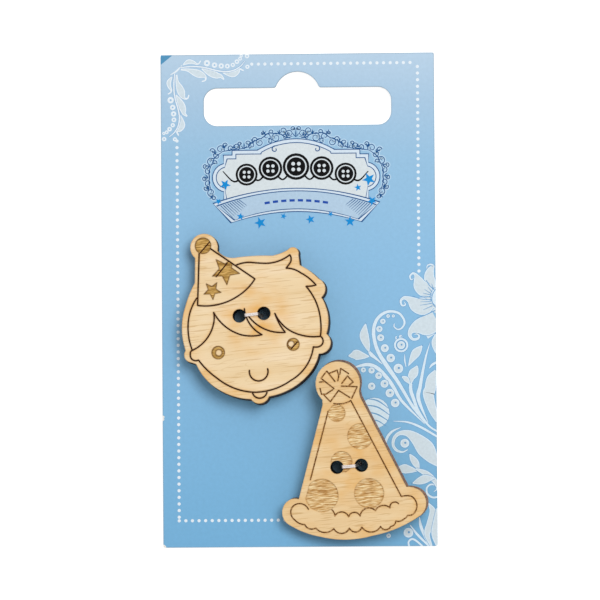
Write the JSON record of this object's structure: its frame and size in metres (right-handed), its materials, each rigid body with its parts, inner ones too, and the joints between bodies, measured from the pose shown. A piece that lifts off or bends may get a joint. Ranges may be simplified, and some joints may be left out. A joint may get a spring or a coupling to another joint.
{
  "type": "card of buttons",
  "caption": "Printed hang card with a hang slot, carrying laser-cut and engraved wooden novelty buttons, a face in a party hat and a party hat, each sewn on by a white thread knotted behind.",
  "frame": {"origin": "under the middle of the card, at the lowest point of the knots that it lies on", "axes": "+X to the right across the card's front, +Y up the card to the hang slot, +Z out of the printed front"},
  "size_m": [0.047, 0.0846, 0.0076],
  "materials": {
    "printed_board": "printed, semi-gloss varnish",
    "button_wood": "bare, laser cut and engraved",
    "sewing_thread": "twisted polyester"
  },
  "bodies": {
    "root": {"card": "printed_board", "face_button": "button_wood", "hat_button": "button_wood", "face_thread": "sewing_thread", "hat_thread": "sewing_thread"}
  },
  "joints": []
}
